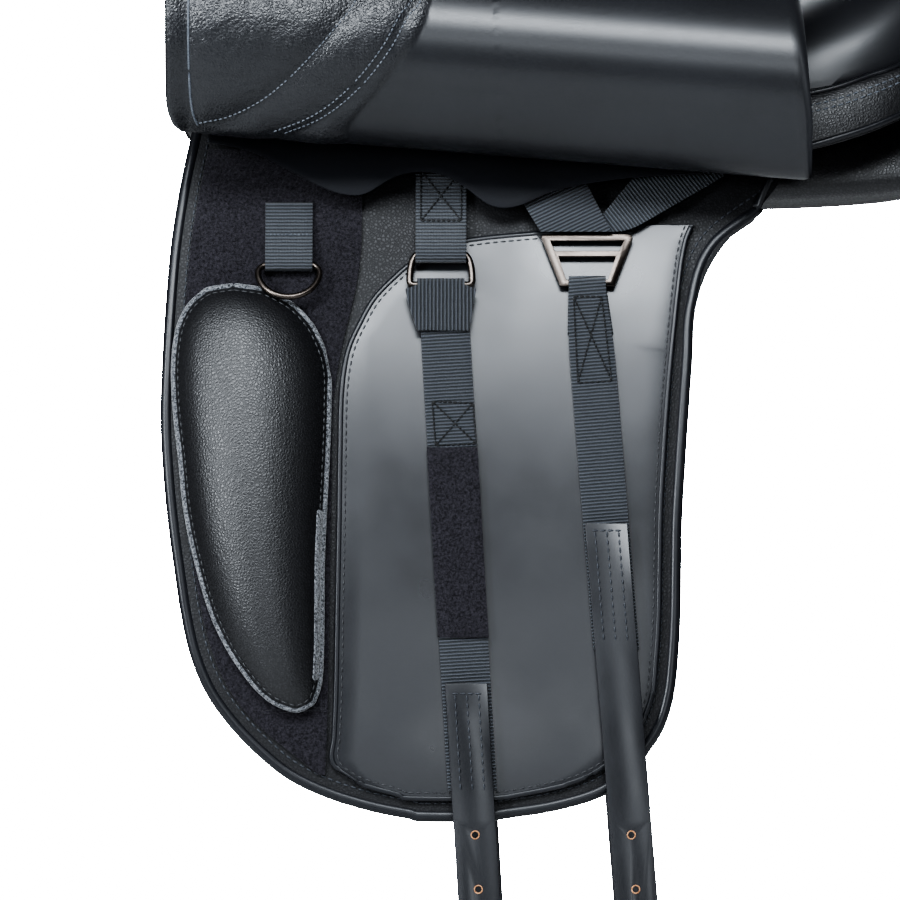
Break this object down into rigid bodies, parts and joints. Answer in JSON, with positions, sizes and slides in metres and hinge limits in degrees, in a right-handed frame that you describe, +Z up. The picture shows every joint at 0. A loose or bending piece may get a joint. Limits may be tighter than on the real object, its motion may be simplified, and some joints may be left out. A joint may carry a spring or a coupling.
{
  "type": "english saddle",
  "caption": "Dressage saddle with outer flaps turned up over the seat, showing knee blocks, girth guards, webbing girth straps on rings and punched billets.",
  "frame": {"origin": "on the centre line, level with the underside of the panels, where the horse's back carries the saddle", "axes": "+Z up, -X towards the horse's head, -Y the near (left) side"},
  "size_m": [0.506, 0.4558, 0.8928],
  "materials": {
    "smooth_leather": "satin",
    "grained_leather": "grained satin",
    "webbing": "ribbed",
    "hook_and_loop": "fuzzy",
    "gunmetal": "polished gunmetal",
    "tree": "matte",
    "steel": "satin",
    "seat_foam": "matte"
  },
  "bodies": {
    "saddle": {"tree": "tree", "gullet_plate": "steel", "seat_foam": "seat_foam", "seat_cover": "smooth_leather", "near_panel": "grained_leather", "near_sweat_flap": "smooth_leather", "near_hook_and_loop_patch": "hook_and_loop", "near_girth_guard": "smooth_leather", "near_valance": "smooth_leather", "near_point_strap_tab": "webbing", "near_front_strap_anchor": "webbing", "near_v_web_front_arm": "webbing", "near_v_web_rear_arm": "webbing", "near_flap_root": "smooth_leather", "near_front_skirt": "grained_leather", "near_rear_skirt": "grained_leather", "near_stirrup_bar": "steel", "off_panel": "grained_leather", "off_sweat_flap": "smooth_leather", "off_hook_and_loop_patch": "hook_and_loop", "off_girth_guard": "smooth_leather", "off_valance": "smooth_leather", "off_point_strap_tab": "webbing", "off_front_strap_anchor": "webbing", "off_v_web_front_arm": "webbing", "off_v_web_rear_arm": "webbing", "off_flap_root": "smooth_leather", "off_front_skirt": "grained_leather", "off_rear_skirt": "grained_leather", "off_stirrup_bar": "steel"},
    "near_roll_inner": {"near_flap_roll_inner": "smooth_leather"},
    "near_roll_outer": {"near_flap_roll_outer": "smooth_leather"},
    "near_flap": {"near_outer_flap": "smooth_leather"},
    "near_skirt_panel": {"near_skirt": "grained_leather"},
    "near_block": {"near_knee_block": "grained_leather"},
    "near_point_ring": {"near_point_strap_dee": "gunmetal"},
    "near_front_ring": {"near_front_strap_dee": "gunmetal"},
    "near_front_strap": {"near_front_strap_collar": "webbing", "near_front_strap_web": "webbing", "near_front_strap_hook_strip": "hook_and_loop", "near_front_billet": "smooth_leather"},
    "near_buckle": {"near_girth_buckle_frame": "gunmetal"},
    "near_rear_strap": {"near_rear_strap_web": "webbing", "near_rear_billet": "smooth_leather"},
    "near_bar_catch": {"near_stirrup_bar_catch": "steel"},
    "off_roll_inner": {"off_flap_roll_inner": "smooth_leather"},
    "off_roll_outer": {"off_flap_roll_outer": "smooth_leather"},
    "off_flap": {"off_outer_flap": "smooth_leather"},
    "off_skirt_panel": {"off_skirt": "grained_leather"},
    "off_block": {"off_knee_block": "grained_leather"},
    "off_point_ring": {"off_point_strap_dee": "gunmetal"},
    "off_front_ring": {"off_front_strap_dee": "gunmetal"},
    "off_front_strap": {"off_front_strap_collar": "webbing", "off_front_strap_web": "webbing", "off_front_strap_hook_strip": "hook_and_loop", "off_front_billet": "smooth_leather"},
    "off_buckle": {"off_girth_buckle_frame": "gunmetal"},
    "off_rear_strap": {"off_rear_strap_web": "webbing", "off_rear_billet": "smooth_leather"},
    "off_bar_catch": {"off_stirrup_bar_catch": "steel"}
  },
  "joints": [
    {"name": "near_flap_turn_down", "type": "hinge", "parent": "saddle", "child": "near_roll_inner", "pos_m": [0, -0.147, 0.028], "axis": [0.9968, 0, -0.0802], "range_deg": [0, 65]},
    {"name": "near_flap_roll_open", "type": "hinge", "parent": "near_roll_inner", "child": "near_roll_outer", "pos_m": [0, -0.189, 0.023], "axis": [0.9968, 0, -0.0802], "range_deg": [0, 68.3]},
    {"name": "near_flap_unroll", "type": "hinge", "parent": "near_roll_outer", "child": "near_flap", "pos_m": [0, -0.228, 0.096], "axis": [0.9968, 0, -0.0802], "range_deg": [0, 67.7]},
    {"name": "near_skirt_lift", "type": "hinge", "parent": "saddle", "child": "near_skirt_panel", "pos_m": [-0.12, -0.116, 0.086], "axis": [-0.9852, 0.1323, 0.1095], "range_deg": [0, 43]},
    {"name": "near_knee_block_reset", "type": "hinge", "parent": "saddle", "child": "near_block", "pos_m": [-0.205, 0.902, -0.362], "axis": [1, 0, 0], "range_deg": [0, 0.8]},
    {"name": "near_point_dee_swing", "type": "hinge", "parent": "saddle", "child": "near_point_ring", "pos_m": [-0.184, -0.15507, -0.035], "axis": [1, 0, 0], "range_deg": [-75, 0]},
    {"name": "near_front_dee_swing", "type": "hinge", "parent": "saddle", "child": "near_front_ring", "pos_m": [-0.094, -0.15617, -0.028], "axis": [1, 0, 0], "range_deg": [-40, 0]},
    {"name": "near_front_strap_swing", "type": "hinge", "parent": "near_front_ring", "child": "near_front_strap", "pos_m": [-0.094, -0.16203, -0.047], "axis": [1, 0, 0], "range_deg": [-50, 0]},
    {"name": "near_buckle_swing", "type": "hinge", "parent": "saddle", "child": "near_buckle", "pos_m": [-0.0075, -0.15176, -0.019], "axis": [1, 0, 0], "range_deg": [-45, 0]},
    {"name": "near_rear_strap_swing", "type": "hinge", "parent": "near_buckle", "child": "near_rear_strap", "pos_m": [-0.008, -0.16023, -0.046], "axis": [1, 0, 0], "range_deg": [-20, 0]},
    {"name": "near_bar_catch_turn", "type": "hinge", "parent": "saddle", "child": "near_bar_catch", "pos_m": [-0.0685, -0.1235, 0.072], "axis": [0, -1, 0], "range_deg": [0, 30]},
    {"name": "off_flap_turn_down", "type": "hinge", "parent": "saddle", "child": "off_roll_inner", "pos_m": [0, 0.147, 0.028], "axis": [-0.9968, 0, 0.0802], "range_deg": [0, 65]},
    {"name": "off_flap_roll_open", "type": "hinge", "parent": "off_roll_inner", "child": "off_roll_outer", "pos_m": [0, 0.189, 0.023], "axis": [-0.9968, 0, 0.0802], "range_deg": [0, 68.3]},
    {"name": "off_flap_unroll", "type": "hinge", "parent": "off_roll_outer", "child": "off_flap", "pos_m": [0, 0.228, 0.096], "axis": [-0.9968, 0, 0.0802], "range_deg": [0, 67.7]},
    {"name": "off_skirt_lift", "type": "hinge", "parent": "saddle", "child": "off_skirt_panel", "pos_m": [-0.12, 0.116, 0.086], "axis": [0.9852, 0.1323, -0.1095], "range_deg": [0, 43]},
    {"name": "off_knee_block_reset", "type": "hinge", "parent": "saddle", "child": "off_block", "pos_m": [-0.205, -0.902, -0.362], "axis": [-1, 0, 0], "range_deg": [0, 0.8]},
    {"name": "off_point_dee_swing", "type": "hinge", "parent": "saddle", "child": "off_point_ring", "pos_m": [-0.184, 0.15507, -0.035], "axis": [-1, 0, 0], "range_deg": [-75, 0]},
    {"name": "off_front_dee_swing", "type": "hinge", "parent": "saddle", "child": "off_front_ring", "pos_m": [-0.094, 0.15617, -0.028], "axis": [-1, 0, 0], "range_deg": [-40, 0]},
    {"name": "off_front_strap_swing", "type": "hinge", "parent": "off_front_ring", "child": "off_front_strap", "pos_m": [-0.094, 0.16203, -0.047], "axis": [-1, 0, 0], "range_deg": [-50, 0]},
    {"name": "off_buckle_swing", "type": "hinge", "parent": "saddle", "child": "off_buckle", "pos_m": [-0.0075, 0.15176, -0.019], "axis": [-1, 0, 0], "range_deg": [-45, 0]},
    {"name": "off_rear_strap_swing", "type": "hinge", "parent": "off_buckle", "child": "off_rear_strap", "pos_m": [-0.008, 0.16023, -0.046], "axis": [-1, 0, 0], "range_deg": [-20, 0]},
    {"name": "off_bar_catch_turn", "type": "hinge", "parent": "saddle", "child": "off_bar_catch", "pos_m": [-0.0685, 0.1235, 0.072], "axis": [0, -1, 0], "range_deg": [0, 30]}
  ],
  "couplings": [
    {"joint": "near_flap_roll_open", "follows": "near_flap_turn_down", "ratio": 1.05},
    {"joint": "near_flap_unroll", "follows": "near_flap_turn_down", "ratio": 1.04},
    {"joint": "off_flap_roll_open", "follows": "off_flap_turn_down", "ratio": 1.05},
    {"joint": "off_flap_unroll", "follows": "off_flap_turn_down", "ratio": 1.04}
  ]
}
